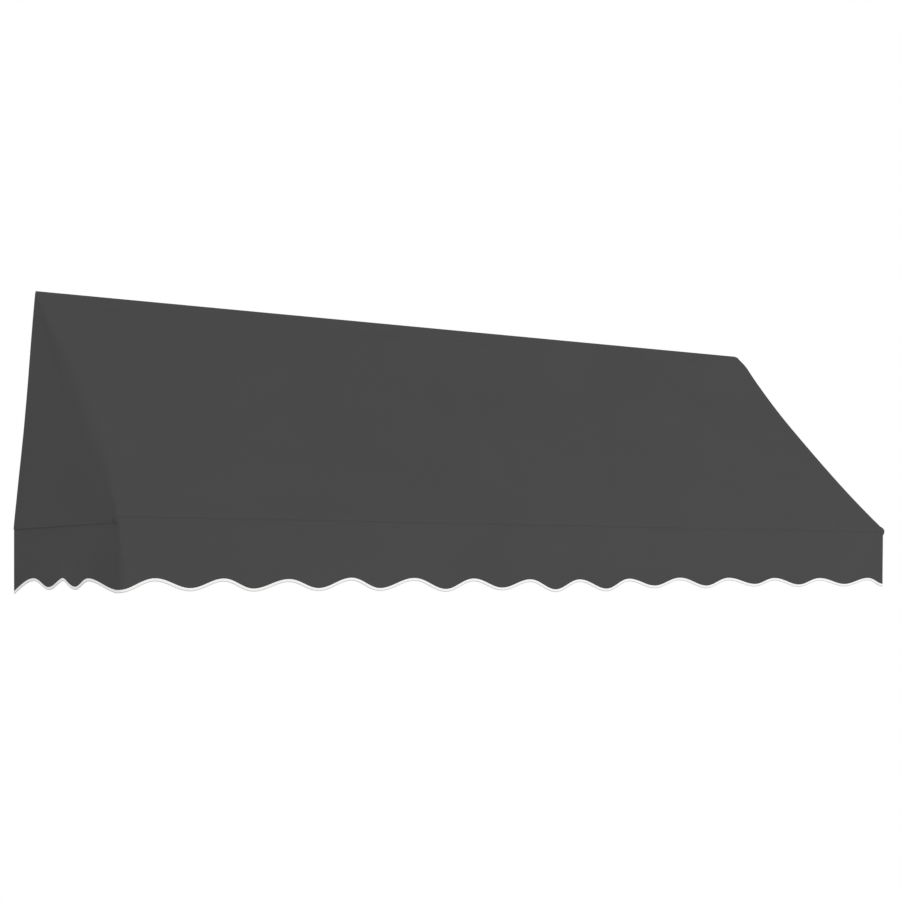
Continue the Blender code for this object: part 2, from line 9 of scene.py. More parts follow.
import bmesh
import bpy
import numpy as np
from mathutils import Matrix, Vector


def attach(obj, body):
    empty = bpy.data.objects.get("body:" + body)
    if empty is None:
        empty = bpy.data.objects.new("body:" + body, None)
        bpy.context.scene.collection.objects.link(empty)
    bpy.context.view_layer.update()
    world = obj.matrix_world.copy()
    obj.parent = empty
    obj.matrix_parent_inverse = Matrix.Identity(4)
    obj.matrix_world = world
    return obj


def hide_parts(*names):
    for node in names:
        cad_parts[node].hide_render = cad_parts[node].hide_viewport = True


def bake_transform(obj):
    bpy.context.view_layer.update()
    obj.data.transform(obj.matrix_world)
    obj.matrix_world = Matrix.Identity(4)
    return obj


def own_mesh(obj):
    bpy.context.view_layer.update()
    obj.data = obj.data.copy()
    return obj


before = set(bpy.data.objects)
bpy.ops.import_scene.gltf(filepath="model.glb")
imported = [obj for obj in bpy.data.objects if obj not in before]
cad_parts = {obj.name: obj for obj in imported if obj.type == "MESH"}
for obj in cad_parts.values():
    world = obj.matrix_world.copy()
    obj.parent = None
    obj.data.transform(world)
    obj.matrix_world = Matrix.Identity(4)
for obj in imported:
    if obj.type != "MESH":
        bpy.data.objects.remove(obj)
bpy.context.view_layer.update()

# Top rail
# Two steel tubes meet in the middle on an inner sleeve. They are powder coated: sprayed with
# charcoal polyester powder and baked, which leaves an even, faintly dimpled satin skin.


def linear(hex_colour):
    """An sRGB colour such as #4A4A4A as the linear colour that a shader takes."""
    parts = [int(hex_colour[i:i + 2], 16) / 255 for i in (1, 3, 5)]
    parts = [c / 12.92 if c <= 0.04045 else ((c + 0.055) / 1.055) ** 2.4 for c in parts]
    return (*parts, 1.0)


def add_node(tree, kind, values=None, sources=None):
    """Add a node, set its properties and sockets, and link the outputs that feed it."""
    node = tree.nodes.new(kind)
    for key, value in (values or {}).items():
        if isinstance(key, str) and key in node.bl_rna.properties:
            setattr(node, key, value)
        else:
            node.inputs[key].default_value = value
    for key, source in (sources or {}).items():
        tree.links.new(source, node.inputs[key])
    return node


def finish_named(name, metallic=0.0, **constants):
    """A new node material with its Principled shader, whose constants are set on its sockets."""
    material = bpy.data.materials.new(name)
    material.use_nodes = True
    shader = material.node_tree.nodes["Principled BSDF"]
    shader.inputs["Metallic"].default_value = metallic
    for key, value in constants.items():
        shader.inputs[key.replace("_", " ")].default_value = value
    return material, material.node_tree, shader


def coat(finish, *nodes):
    """Give CAD nodes, or pieces made here, one finish."""
    for name in nodes:
        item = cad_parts[name] if isinstance(name, str) else name
        item.data.materials.clear()
        item.data.materials.append(finish)


def mottle(tree, shader, place, size, detail, tones, roughness):
    """Vary a finish's colour and roughness together, in soft patches of one size."""
    patches = add_node(tree, "ShaderNodeTexNoise", {"Scale": 1 / size, "Detail": detail},
                       {"Vector": place})
    dark, light = tones
    tone = add_node(tree, "ShaderNodeMix", {"data_type": "RGBA", 6: linear(dark), 7: linear(light)},
                    {0: patches.outputs["Fac"]})
    tree.links.new(tone.outputs[2], shader.inputs["Base Color"])
    least, most = roughness
    gloss = add_node(tree, "ShaderNodeMapRange", {"To Min": least, "To Max": most},
                     {"Value": patches.outputs["Fac"]})
    tree.links.new(gloss.outputs["Result"], shader.inputs["Roughness"])
    return patches.outputs["Fac"]


# Powder coating reads as a soft satin, a little cloudy over 120 mm, with a fine orange peel about
# 1.6 mm across.
CLOUD = 0.12
PEEL = 0.0016
powder_coated_steel, tree, shader = finish_named("powder_coated_steel")
place = add_node(tree, "ShaderNodeTexCoord").outputs["Object"]
mottle(tree, shader, place, CLOUD, 3.0, ("#2C2D2F", "#36373A"), (0.40, 0.54))
peel = add_node(tree, "ShaderNodeTexNoise", {"Scale": 1 / PEEL, "Detail": 2.0}, {"Vector": place})
dimples = add_node(tree, "ShaderNodeBump", {"Strength": 0.35, "Distance": 0.00012},
                   {"Height": peel.outputs["Fac"]})
tree.links.new(dimples.outputs["Normal"], shader.inputs["Normal"])

# Injection moulded plastic reads as near black, with a spark-eroded grain about 0.9 mm across.
GRAIN = 0.0009
moulded_plastic, tree, shader = finish_named("moulded_polypropylene", IOR=1.49)
place = add_node(tree, "ShaderNodeTexCoord").outputs["Object"]
grain = mottle(tree, shader, place, GRAIN, 2.0, ("#1A1A1B", "#242425"), (0.42, 0.58))
pits = add_node(tree, "ShaderNodeBump", {"Strength": 0.3, "Distance": 0.0001}, {"Height": grain})
tree.links.new(pits.outputs["Normal"], shader.inputs["Normal"])

coat(powder_coated_steel, "rail_tube_left", "rail_tube_right", "rail_joint_sleeve")
coat(moulded_plastic, "rail_end_cap_left", "rail_end_cap_right")

# Wall brackets of the rail
# Three pressed steel plates, powder coated with the rail, whose cradles hold it from behind and
# below. A zinc plated screw from below pins the rail in each of them.

# Zinc plating reads as a pale blue-grey metal, dull in patches about 4 mm across.
SPANGLE = 0.004
zinc_plated_steel, tree, shader = finish_named("zinc_plated_steel", metallic=1.0)
place = add_node(tree, "ShaderNodeTexCoord").outputs["Object"]
mottle(tree, shader, place, SPANGLE, 4.0, ("#AEB2B6", "#C9CCCE"), (0.28, 0.46))

coat(powder_coated_steel, "rail_bracket_left", "rail_bracket_middle", "rail_bracket_right")
coat(zinc_plated_steel, "rail_screw_left", "rail_screw_middle", "rail_screw_right")

# Arms and their wall brackets
# Each arm is a powder coated tube with a zinc plated tongue in its wall end and an eye in its
# front end. The tongue turns on a bolt between two ears welded to a wall plate.

for side in ("left", "right"):
    coat(powder_coated_steel, "arm_bracket_" + side, "arm_tube_" + side)
    coat(zinc_plated_steel, "arm_tongue_" + side, "arm_eye_" + side, "pivot_bolt_" + side,
         "pivot_nut_" + side)
    coat(moulded_plastic, "pivot_washer_%s_inner" % side, "pivot_washer_%s_outer" % side)

# Front bar
# Two powder coated tubes on an inner sleeve run through the eyes. Zinc plated collars keep them
# there, and moulded caps close their ends.

coat(powder_coated_steel, "bar_tube_left", "bar_tube_right", "bar_joint_sleeve")
coat(moulded_plastic, "bar_end_cap_left", "bar_end_cap_right")
for side in ("left", "right"):
    coat(zinc_plated_steel, "bar_collar_%s_inner" % side, "bar_collar_%s_outer" % side)

# Canopy
# One cloth of woven polyester, coated on its back against rain: the slope, the pocket round the
# rail and the two wings that fold down from the slope's edges. It is cut and sewn, then pulled
# over the rail and the front bar.

HALF_WIDTH = 1.75
RAIL_EDGE = 1.716
RISE = 0.833
RAIL_AXIS = Vector((0.0, -0.035, 0.0))
BAR_AXIS = Vector((0.0, -0.895, -RISE))
RAIL_WRAP = 0.0156
BAR_WRAP = 0.0222
CLOTH = 0.001
SAG = 0.027
SAG_MIDDLE = 0.010
SAG_PLACE = 0.40
SAG_FULLNESS = 2.8
WING_REAR = Vector((1.7895, -0.012, -0.8555))
WING_FRONT = Vector((HALF_WIDTH, -0.897, -0.852))
WING_COLUMNS = 26
FOLD_COLUMNS = 9
# A wing's soft folds and its hang, with how far each wave turns in a metre, in radians.
WING_FOLDS = 0.0035
WING_FOLDS_OUT = 11.0
WING_FOLDS_UP = 4.0
WING_HANG = 0.006
WING_HANG_OUT = 3.4
# The folds between the slope and the wings. The left one is slack and rolls wide between the rail
# and the bar; the right one is crisp, and round only at the rail. Spreads are shares of the slope.
LEFT_FOLD = 0.005
LEFT_ROLL = 0.062
LEFT_ROLL_OPENS = 0.40
LEFT_ROLL_CLOSES = 0.30
RIGHT_FOLD = 0.006
RIGHT_ROLL = 0.003
RIGHT_ROLL_PLACE = 0.40
RIGHT_ROLL_SPREAD = 0.20
RAIL_ROLL = 0.024
RAIL_ROLL_SPREAD = 0.035
# The slope's edges stand out a little where the cloth is carried over the rail's ends.
FLARE = {-1: 0.003, 1: 0.007}
FLARE_SPREAD = 0.08
# Soft waves of the slope, as height, then radians across, radians down the slope and radians at
# the start. They die out towards the folds and the bar's seam.
WAVES = ((0.0022, 9.1, 2.2, 0.6), (0.0014, 17.3, -3.1, 1.9))
BAR_SEAM = 0.945
BAR_SEAM_FADE = 0.14
EDGE_FADE = 0.15
# One crease near the middle, and one spot near the bar that is pulled in.
CREASE_DEPTH = 0.0034
CREASE_WIDTH = 0.055
CREASE_X = 0.025
CREASE_BEND = 0.19
PULL_DEPTH = 0.006
PULL_X = -1.40
PULL_SHARE = 0.86
PULL_SPREAD_X = 0.26
PULL_SPREAD_SHARE = 0.09
# The cloth domes out over the bar's moulded caps.
KNOB_RADIUS = 0.0235
KNOB_HEIGHT = 0.0145

slope_direction = (BAR_AXIS - RAIL_AXIS).normalized()
slope_normal = Vector((0.0, slope_direction.z, -slope_direction.y))


def round_axis(axis, radius, degrees):
    """A point round a rail or bar; 0 degrees points to the wall and 90 degrees up."""
    angle = math.radians(degrees)
    return axis + Vector((0.0, radius * math.cos(angle), radius * math.sin(angle)))


def slope_line(share):
    """The slope's edge from the rail (0) to the bar (1), with its hang between them."""
    rail_side = RAIL_AXIS + slope_normal * RAIL_WRAP
    bar_side = BAR_AXIS + slope_normal * BAR_WRAP
    if share < SAG_PLACE:
        hang = math.sin(math.pi / 2 * share / SAG_PLACE)
    else:
        hang = 1 - ((share - SAG_PLACE) / (1 - SAG_PLACE)) ** SAG_FULLNESS
    return rail_side.lerp(bar_side, share) - slope_normal * (SAG * hang)


def smooth(share):
    """A soft step from 0 to 1."""
    share = min(max(share, 0.0), 1.0)
    return share * share * (3 - 2 * share)


def fold_radius(side, share):
    """How widely the slope rolls over into a wing, from the rail (0) to the bar (1)."""
    if side < 0:
        opened = smooth(share / LEFT_ROLL_OPENS)
        return LEFT_FOLD + LEFT_ROLL * opened * smooth((1 - share) / LEFT_ROLL_CLOSES)
    at_rail = RAIL_ROLL * math.exp(-(share / RAIL_ROLL_SPREAD) ** 2)
    off_place = (share - RIGHT_ROLL_PLACE) / RIGHT_ROLL_SPREAD
    return RIGHT_FOLD + RIGHT_ROLL * math.exp(-off_place ** 2) + at_rail


def slope_half(side, share):
    """Half the slope's width, from the rail (0) to the bar (1); it flares a little at the rail."""
    flare = FLARE[side] * math.exp(-(share / FLARE_SPREAD) ** 2)
    return RAIL_EDGE + (HALF_WIDTH - RAIL_EDGE) * share + flare


def slope_ripple(x, share, flat):
    """Soft waves of the stretched cloth, nothing at the rail and the bar."""
    held = math.sin(math.pi * share) * smooth((BAR_SEAM - share) / BAR_SEAM_FADE)
    across = x / HALF_WIDTH
    wave = sum(height * math.sin(turns * across + turns_down * share + start)
               for height, turns, turns_down, start in WAVES)
    crease = (x - CREASE_X + CREASE_BEND * share * share) / CREASE_WIDTH
    wave -= CREASE_DEPTH * math.exp(-crease * crease)
    pull_x = (x - PULL_X) / PULL_SPREAD_X
    pull_share = (share - PULL_SHARE) / PULL_SPREAD_SHARE
    pulled = math.exp(-(pull_x ** 2) - pull_share ** 2)
    held *= smooth((flat - abs(x)) / EDGE_FADE)
    return held * (wave - SAG_MIDDLE * (1 - across * across) - PULL_DEPTH * pulled)


def cap_bulge(point):
    """How far the cloth stands out in a dome over the bar's end."""
    reach = math.hypot(point.y - BAR_AXIS.y, point.z - BAR_AXIS.z) / KNOB_RADIUS
    return KNOB_HEIGHT * (1 - reach ** 3) if reach < 1 else 0.0


def wing_wave(point, fall):
    """How far a wing leans out of its plane: it hangs in a little and carries two soft folds."""
    free = math.sin(math.pi * min(max(fall, 0.0), 1.0))
    reach = -point.y
    folds = WING_FOLDS * math.sin(reach * WING_FOLDS_OUT + point.z * WING_FOLDS_UP)
    return free * (folds - WING_HANG * math.sin(reach * WING_HANG_OUT))


NO_LENGTH = 1e-10
SAME_PLACE = 0.00001
SHARP_CLOTH = 40


def cloth_mesh(name, middle, thickness, skipped=()):
    """A cloth of two faces and a rim round a grid of middle points, mapped in metres.

    The grid is an array of rows, columns and x, y, z. A skipped cell is (row, column).
    """
    middle = np.array(middle, float)
    rows, columns = middle.shape[:2]
    down = np.empty_like(middle)
    down[1:-1] = middle[2:] - middle[:-2]
    down[0] = middle[1] - middle[0]
    down[-1] = middle[-1] - middle[-2]
    across = np.empty_like(middle)
    across[:, 1:-1] = middle[:, 2:] - middle[:, :-2]
    across[:, 0] = middle[:, 1] - middle[:, 0]
    across[:, -1] = middle[:, -1] - middle[:, -2]
    normal = np.cross(down, across)
    length = np.linalg.norm(normal, axis=2)
    for i in range(rows):
        for j in np.nonzero(length[i] < NO_LENGTH)[0]:
            near = j - 1 if j > columns // 2 else j + 1
            while length[i, near] < NO_LENGTH:
                near += -1 if j > columns // 2 else 1
            normal[i, j] = normal[i, near]
            length[i, j] = length[i, near]
    normal /= length[:, :, None]
    layers = np.concatenate([middle + normal * thickness / 2, middle - normal * thickness / 2])
    count = rows * columns
    open_cell = np.ones((rows - 1, columns - 1), bool)
    for i, j in skipped:
        open_cell[i, j] = False
    faces = []
    for i, j in zip(*np.nonzero(open_cell)):
        a = i * columns + j
        b = a + columns
        faces.append((a, b, b + 1, a + 1))
        faces.append((a + count, a + 1 + count, b + 1 + count, b + count))
        for (di, dj), (p, q) in (((-1, 0), (a, a + 1)), ((1, 0), (b + 1, b)),
                                 ((0, -1), (b, a)), ((0, 1), (a + 1, b + 1))):
            k, m = i + di, j + dj
            inside = 0 <= k < rows - 1 and 0 <= m < columns - 1
            if not inside or not open_cell[k, m]:
                faces.append((p, q, q + count, p + count))
    mesh = bpy.data.meshes.new(name)
    mesh.from_pydata(layers.reshape(-1, 3).tolist(), [], faces)
    steps_u = np.linalg.norm(np.diff(middle, axis=1), axis=2)
    steps_v = np.linalg.norm(np.diff(middle, axis=0), axis=2)
    u = np.concatenate([np.zeros((rows, 1)), np.cumsum(steps_u, axis=1)], axis=1)
    v = np.concatenate([np.zeros((1, columns)), np.cumsum(steps_v, axis=0)], axis=0)
    u -= u[:, columns // 2:columns // 2 + 1]
    places = np.stack([u, v], axis=2).reshape(-1, 2)
    places = np.concatenate([places, places])
    layer = mesh.uv_layers.new(name="Threads")
    corners = np.empty(len(mesh.loops), np.int32)
    mesh.loops.foreach_get("vertex_index", corners)
    layer.uv.foreach_set("vector", places[corners].astype(np.float32).ravel())
    mesh.validate()
    weld_points(mesh)
    mesh.shade_smooth()
    mesh.set_sharp_from_angle(angle=math.radians(SHARP_CLOTH))
    item = bpy.data.objects.new(name, mesh)
    bpy.context.collection.objects.link(item)
    return item


def weld_points(mesh):
    """Join points that share a place and drop the points that no face uses."""
    work = bmesh.new()
    work.from_mesh(mesh)
    loose = [v for v in work.verts if not v.link_faces]
    bmesh.ops.delete(work, geom=loose, context="VERTS")
    bmesh.ops.remove_doubles(work, verts=work.verts, dist=SAME_PLACE)
    work.to_mesh(mesh)
    work.free()


# Woven polyester reads as a flat, dry grey with a dull sheen at grazing angles. Its threads are
# 0.6 mm apart and are drawn at 2.4 mm, since finer ones would not show. The dye is uneven over
# 450 mm, and slubs, three to a metre along and 140 across, streak it faintly.
THREAD = 0.0024
DYE_PATCH = 0.45
SLUBS = (3.0, 140.0, 1.0)


def band_scale(spacing):
    """The scale at which a wave texture draws its bands this far apart."""
    return 2 * math.pi / 20 / spacing


def woven_polyester(name, dark, light, gap_shade_depth):
    """Plain weave: each thread passes over and under the next ones, on the cloth's own map."""
    material, tree, shader = finish_named(name, Specular_IOR_Level=0.02, Sheen_Weight=0.01,
                                          Sheen_Roughness=0.5)
    threads = add_node(tree, "ShaderNodeUVMap", {"uv_map": "Threads"})
    place = add_node(tree, "ShaderNodeTexCoord")
    warp = add_node(tree, "ShaderNodeTexWave",
                    {"bands_direction": "X", "Scale": band_scale(THREAD)},
                    {"Vector": threads.outputs["UV"]})
    weft = add_node(tree, "ShaderNodeTexWave",
                    {"bands_direction": "Y", "Scale": band_scale(THREAD)},
                    {"Vector": threads.outputs["UV"]})
    over = add_node(tree, "ShaderNodeTexChecker", {"Scale": 1 / THREAD},
                    {"Vector": threads.outputs["UV"]})
    height = add_node(tree, "ShaderNodeMix", {"data_type": "FLOAT"},
                      {0: over.outputs["Fac"], 2: warp.outputs["Fac"], 3: weft.outputs["Fac"]})
    cloudy = add_node(tree, "ShaderNodeTexNoise", {"Scale": 1 / DYE_PATCH, "Detail": 2.0},
                      {"Vector": place.outputs["Object"]})
    slub = add_node(tree, "ShaderNodeMapping", {"Scale": SLUBS},
                    {"Vector": threads.outputs["UV"]})
    slubs = add_node(tree, "ShaderNodeTexNoise", {"Scale": 1.0, "Detail": 2.0},
                     {"Vector": slub.outputs["Vector"]})
    dye = add_node(tree, "ShaderNodeMix", {"data_type": "FLOAT", 0: 0.3},
                   {2: cloudy.outputs["Fac"], 3: slubs.outputs["Fac"]})
    ground = add_node(tree, "ShaderNodeMix",
                      {"data_type": "RGBA", 6: linear(dark), 7: linear(light)},
                      {0: dye.outputs[0]})
    # The gaps between the threads are painted darker, as painted shade in the weave's hollows.
    gap = add_node(tree, "ShaderNodeMapRange", {"To Min": 1 - gap_shade_depth, "To Max": 1.0},
                   {"Value": height.outputs[0]})
    shaded = add_node(tree, "ShaderNodeVectorMath", {"operation": "SCALE"},
                      {0: ground.outputs[2], "Scale": gap.outputs["Result"]})
    tree.links.new(shaded.outputs["Vector"], shader.inputs["Base Color"])
    dry = add_node(tree, "ShaderNodeMapRange", {"To Min": 0.86, "To Max": 0.74},
                   {"Value": height.outputs[0]})
    tree.links.new(dry.outputs["Result"], shader.inputs["Roughness"])
    relief = add_node(tree, "ShaderNodeBump", {"Strength": 0.4, "Distance": 0.0003},
                      {"Height": height.outputs[0]})
    tree.links.new(relief.outputs["Normal"], shader.inputs["Normal"])
    return material


charcoal_cloth = woven_polyester("woven_polyester_charcoal", "#4A4A4B", "#4F4F4F", 0.10)

# The pocket ends short of the slope's edges, and the last of its turn carries the cloth over the
# rail's ends. Its notches leave the brackets' necks free. Angles are in degrees round the rail.
POCKET_HALF = 1.678
POCKET_START = -62
POCKET_GAP = 4
FLAP_START = 72
BRACKETS = (-1.45, 0.0, 1.45)
NOTCH_HALF = 0.028
NOTCH_TOP = 62
COLUMN_WIDTH = 0.022

# Columns of the slope, given where it leaves the rail.
flat_left = slope_half(-1, 0.0) - fold_radius(-1, 0.0)
flat_right = slope_half(1, 0.0) - fold_radius(1, 0.0)
notch_edges = [x + side * NOTCH_HALF for x in BRACKETS for side in (-1, 1)]
marks = sorted([-flat_left, -POCKET_HALF, *notch_edges, POCKET_HALF, flat_right])
slope_columns = [marks[0]]
for low, high in zip(marks, marks[1:]):
    steps = max(1, round((high - low) / COLUMN_WIDTH))
    slope_columns += [low + (high - low) * (n + 1) / steps for n in range(steps)]


def canopy_row(share, wrap_degrees=None):
    """One row of the canopy, from the left wing's lower edge over the slope to the right one."""
    if wrap_degrees is None:
        edge = slope_line(share)
        outward = slope_normal
    else:
        edge = round_axis(BAR_AXIS, BAR_WRAP, wrap_degrees)
        outward = (edge - BAR_AXIS).normalized()
    row = []
    for side in (-1, 1):
        half = slope_half(side, share)
        radius = fold_radius(side, share)
        low = WING_REAR.lerp(WING_FRONT, share)
        low = Vector((side * low.x, low.y, low.z))
        centre = Vector((side * (half - radius), edge.y, edge.z)) - outward * radius
        part = []
        for step in range(FOLD_COLUMNS + 1):
            angle = math.pi / 2 * step / FOLD_COLUMNS
            spread = Vector((side, 0.0, 0.0)) * math.sin(angle) + outward * math.cos(angle)
            part.append(centre + spread * radius)
        top = part[-1]
        for step in range(1, WING_COLUMNS + 1):
            fall = step / WING_COLUMNS
            point = top.lerp(low, fall)
            lean = wing_wave(point, fall) * (1 - share ** 6) if wrap_degrees is None else 0.0
            part.append(point + Vector((side * lean, 0.0, 0.0)))
        part = [p + Vector((side * cap_bulge(p), 0.0, 0.0)) for p in part]
        if side < 0:
            row += part[::-1]
            left_flat = half - radius
        else:
            right_flat = half - radius
            for x in slope_columns[1:-1]:
                flat, flat_top = (left_flat, flat_left) if x < 0 else (right_flat, flat_right)
                at = x * flat / flat_top
                lift = 0.0 if wrap_degrees is not None else slope_ripple(at, share, flat)
                row.append(Vector((at, edge.y, edge.z)) + outward * lift)
            row += part
    return row


WRAP_TOP = math.degrees(math.atan2(slope_normal.z, slope_normal.y))
# The pocket starts under the slope, where it is sewn, and the slope ends in front of the bar.
POCKET_SEAM = (0.062, 0.046)
SEAM_GAP = 0.0012
POCKET_STEPS = 19
BAR_FRONT = 180
BAR_STEPS = 10
side_columns = FOLD_COLUMNS + WING_COLUMNS


def pocket_degrees(step):
    """How far round the rail the pocket's cloth has come after so many steps."""
    return POCKET_START + (WRAP_TOP - POCKET_GAP - POCKET_START) * step / POCKET_STEPS


def pocket_row(point):
    """A row of the rail's pocket; its outer columns are only placeholders for skipped cells."""
    row = [Vector((-flat_left, point.y, point.z))] * side_columns
    row += [Vector((x, point.y, point.z)) for x in slope_columns]
    row += [Vector((flat_right, point.y, point.z))] * side_columns
    return row


def without_cloth(x, degrees):
    """Whether the pocket has no cloth here: past its ends, or where a bracket's neck passes."""
    past_end = abs(x) > POCKET_HALF and degrees < FLAP_START
    at_neck = any(abs(x - bracket) < NOTCH_HALF for bracket in BRACKETS) and degrees < NOTCH_TOP
    return past_end or at_neck


def stations(*stretches):
    """Places from 0 to 1, evenly spaced in each stretch, which is (start, end, steps)."""
    places = [start + (end - start) * n / steps for start, end, steps in stretches
              for n in range(steps)]
    return places + [1.0]


rows = [pocket_row(slope_line(share) - slope_normal * (CLOTH + SEAM_GAP)) for share in POCKET_SEAM]
for step in range(POCKET_STEPS + 1):
    rows.append(pocket_row(round_axis(RAIL_AXIS, RAIL_WRAP, pocket_degrees(step))))
pocket_rows = len(rows)
# The rows lie closest at the rail, where the right fold opens out, and at the bar.
slope_shares = stations((0.0, 0.075, 20), (0.075, 0.93, 57), (0.93, 0.98, 6), (0.98, 1.0, 10))
rows += [canopy_row(share) for share in slope_shares]
for step in range(1, BAR_STEPS + 1):
    rows.append(canopy_row(1.0, WRAP_TOP + (BAR_FRONT - WRAP_TOP) * step / BAR_STEPS))

skipped = []
for i in range(pocket_rows):
    degrees = pocket_degrees(i + 0.5 - len(POCKET_SEAM))
    for j in range(len(rows[0]) - 1):
        k = j - side_columns
        on_slope = 0 <= k < len(slope_columns) - 1
        if not on_slope or without_cloth((slope_columns[k] + slope_columns[k + 1]) / 2, degrees):
            skipped.append((i, j))

canopy_cloth = cloth_mesh("canopy_cloth", rows, CLOTH, skipped)
coat(charcoal_cloth, canopy_cloth)
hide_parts("canopy", "wing_left", "wing_right")
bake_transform(canopy_cloth)

# Stitching of the canopy
# Lockstitches of twisted polyester thread: two rows close each pocket, the rail's and the bar's,
# and one holds the hem along the rear and the lower edge of each wing.

# Spun thread reads as a dull grey, a little lighter than the cloth. Its twist is 0.4 mm long and
# is drawn at 1 mm, and its 4 mm stitches are drawn 5.5 mm apart, since finer ones would not show.
TWIST = 0.001
STITCH = 0.0055
STITCH_HALF = 0.0005
STITCH_SUNK = 0.0002
STITCH_SHARES = (0.12, 0.5, 0.88)


def spun_thread(name, dark, light):
    """Twisted sewing thread, its shallow turns painted light and dark as the light and shade on the
    twist.
    """
    material, tree, shader = finish_named(name, Specular_IOR_Level=0.2, Roughness=0.7)
    place = add_node(tree, "ShaderNodeTexCoord")
    twist = add_node(tree, "ShaderNodeTexWave",
                     {"bands_direction": "DIAGONAL", "Scale": band_scale(TWIST)},
                     {"Vector": place.outputs["Object"]})
    tone = add_node(tree, "ShaderNodeMix", {"data_type": "RGBA", 6: linear(dark), 7: linear(light)},
                    {0: twist.outputs["Fac"]})
    tree.links.new(tone.outputs[2], shader.inputs["Base Color"])
    return material


def stitches(name, runs, finish):
    """Small half-sunk stitches along each run, which is (points on the cloth, outward vectors)."""
    points = []
    faces = []
    for line, outward in runs:
        line = np.array(line, float)
        outward = np.array(outward, float)
        length = np.concatenate([[0.0], np.cumsum(np.linalg.norm(np.diff(line, axis=0), axis=1))])
        for n in range(int(length[-1] / STITCH)):
            reach = [(n + share) * STITCH for share in STITCH_SHARES]
            start, middle, end = ([np.interp(r, length, line[:, k]) for k in range(3)] for r in reach)
            out = np.array([np.interp(reach[1], length, outward[:, k]) for k in range(3)])
            out /= np.linalg.norm(out)
            along = np.subtract(end, start)
            aside = np.cross(along, out)
            aside *= STITCH_HALF / np.linalg.norm(aside)
            sunk = out * STITCH_SUNK
            first = len(points)
            points += [start - sunk, end - sunk]
            points += [middle + out * STITCH_HALF, middle + aside, middle - sunk, middle - aside]
            for k in range(4):
                a, b = first + 2 + k, first + 2 + (k + 1) % 4
                faces += [(first, a, b), (first + 1, b, a)]
    mesh = bpy.data.meshes.new(name)
    mesh.from_pydata([tuple(p) for p in points], [], faces)
    mesh.shade_smooth()
    item = bpy.data.objects.new(name, mesh)
    bpy.context.collection.objects.link(item)
    coat(finish, item)
    return item


grey_thread = spun_thread("spun_polyester_thread_charcoal", "#424243", "#5A5A5B")
HEM = 0.007
POCKET_STITCHING = (0.050, 0.056, 0.950, 0.956)
runs = []
for share in POCKET_STITCHING:
    run = canopy_row(share)[side_columns:-side_columns]
    runs.append(([p + slope_normal * CLOTH / 2 for p in run], [slope_normal] * len(run)))
for side, edge in ((-1, 0), (1, -1)):
    out = Vector((side, 0.0, 0.0))
    inner = edge + 1 if side < 0 else edge - 1
    hem = []
    for row in rows[pocket_rows:pocket_rows + len(slope_shares)]:
        hem.append(row[edge] + (row[inner] - row[edge]).normalized() * HEM + out * CLOTH / 2)
    rear = []
    first, second = rows[pocket_rows], rows[pocket_rows + 1]
    for k in range(1, WING_COLUMNS):
        k = k if side < 0 else -1 - k
        rear.append(first[k] + (second[k] - first[k]).normalized() * HEM + out * CLOTH / 2)
    runs += [(hem, [out] * len(hem)), (rear, [out] * len(rear))]
canopy_stitching = stitches("canopy_stitching", runs, grey_thread)
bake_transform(canopy_stitching)

# Pocket of the front bar
# A strip of the same cloth sewn inside the canopy's lower edge. It passes behind and under the
# bar, so that the bar slides in a closed pocket.

BAR_POCKET_HALF = 1.676
BAR_POCKET_WRAP = RAIL_WRAP + 0.001
BAR_POCKET_FROM = 40
BAR_POCKET_TURN = -126
BAR_POCKET_STEPS = 11
BAR_POCKET_COLUMNS = 140
# Its upper edge is sewn under the slope, at these shares of it and with these gaps. Its lower edge
# hangs behind the front valance, just below the bar's underside.
BAR_POCKET_SEAM = ((BAR_SEAM, 0.0010), (0.962, 0.0008))
BAR_POCKET_DROP = 0.9 * BAR_WRAP
BEHIND_VALANCE = 0.0016
path = [slope_line(share) - slope_normal * (CLOTH + gap) for share, gap in BAR_POCKET_SEAM]
for step in range(BAR_POCKET_STEPS + 1):
    degrees = BAR_POCKET_FROM + BAR_POCKET_TURN * step / BAR_POCKET_STEPS
    path.append(round_axis(BAR_AXIS, BAR_POCKET_WRAP, degrees))
lower = BAR_AXIS + Vector((0.0, BEHIND_VALANCE - BAR_WRAP, -BAR_POCKET_DROP))
path += [path[-1].lerp(lower, 0.5), lower]
places = [2 * n / BAR_POCKET_COLUMNS - 1 for n in range(BAR_POCKET_COLUMNS + 1)]
strip = [[Vector((BAR_POCKET_HALF * x, point.y, point.z)) for x in places] for point in path]
bar_pocket = cloth_mesh("bar_pocket", strip, CLOTH)
coat(charcoal_cloth, bar_pocket)
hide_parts("bar_tunnel")
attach(bar_pocket, "front_bar")

# Front valance
# A strip of the same cloth that laps over the bar under the canopy's edge and hangs from its
# front. Its lower edge is cut in fourteen scallops, and it turns the corners at both ends.

FRONT_Y = BAR_AXIS.y - BAR_WRAP
ARCH_Z = -RISE - 0.200
LAYER = 0.0011
CORNER_TOP = 0.006
CORNER_HEM = {-1: 0.034, 1: 0.010}
CORNER_LAP = 0.010
LAP = BAR_WRAP - LAYER
SIDE_END_Y = FRONT_Y + 0.0095
INTO_TAPE = 0.005
LAP_FROM = 96
LAP_TURN = 76
LAP_STEPS = 6
CORNER_LAP_STEPS = 4
CORNER_STEPS = 10
FRONT_COLUMNS = 280
# The hem's soft pleats, then each wave's part of them, its radians in a metre and at the start.
PLEAT = 0.0026
PLEATS = ((1.0, 14.6, 1.1), (0.6, 24.9, 0.3))
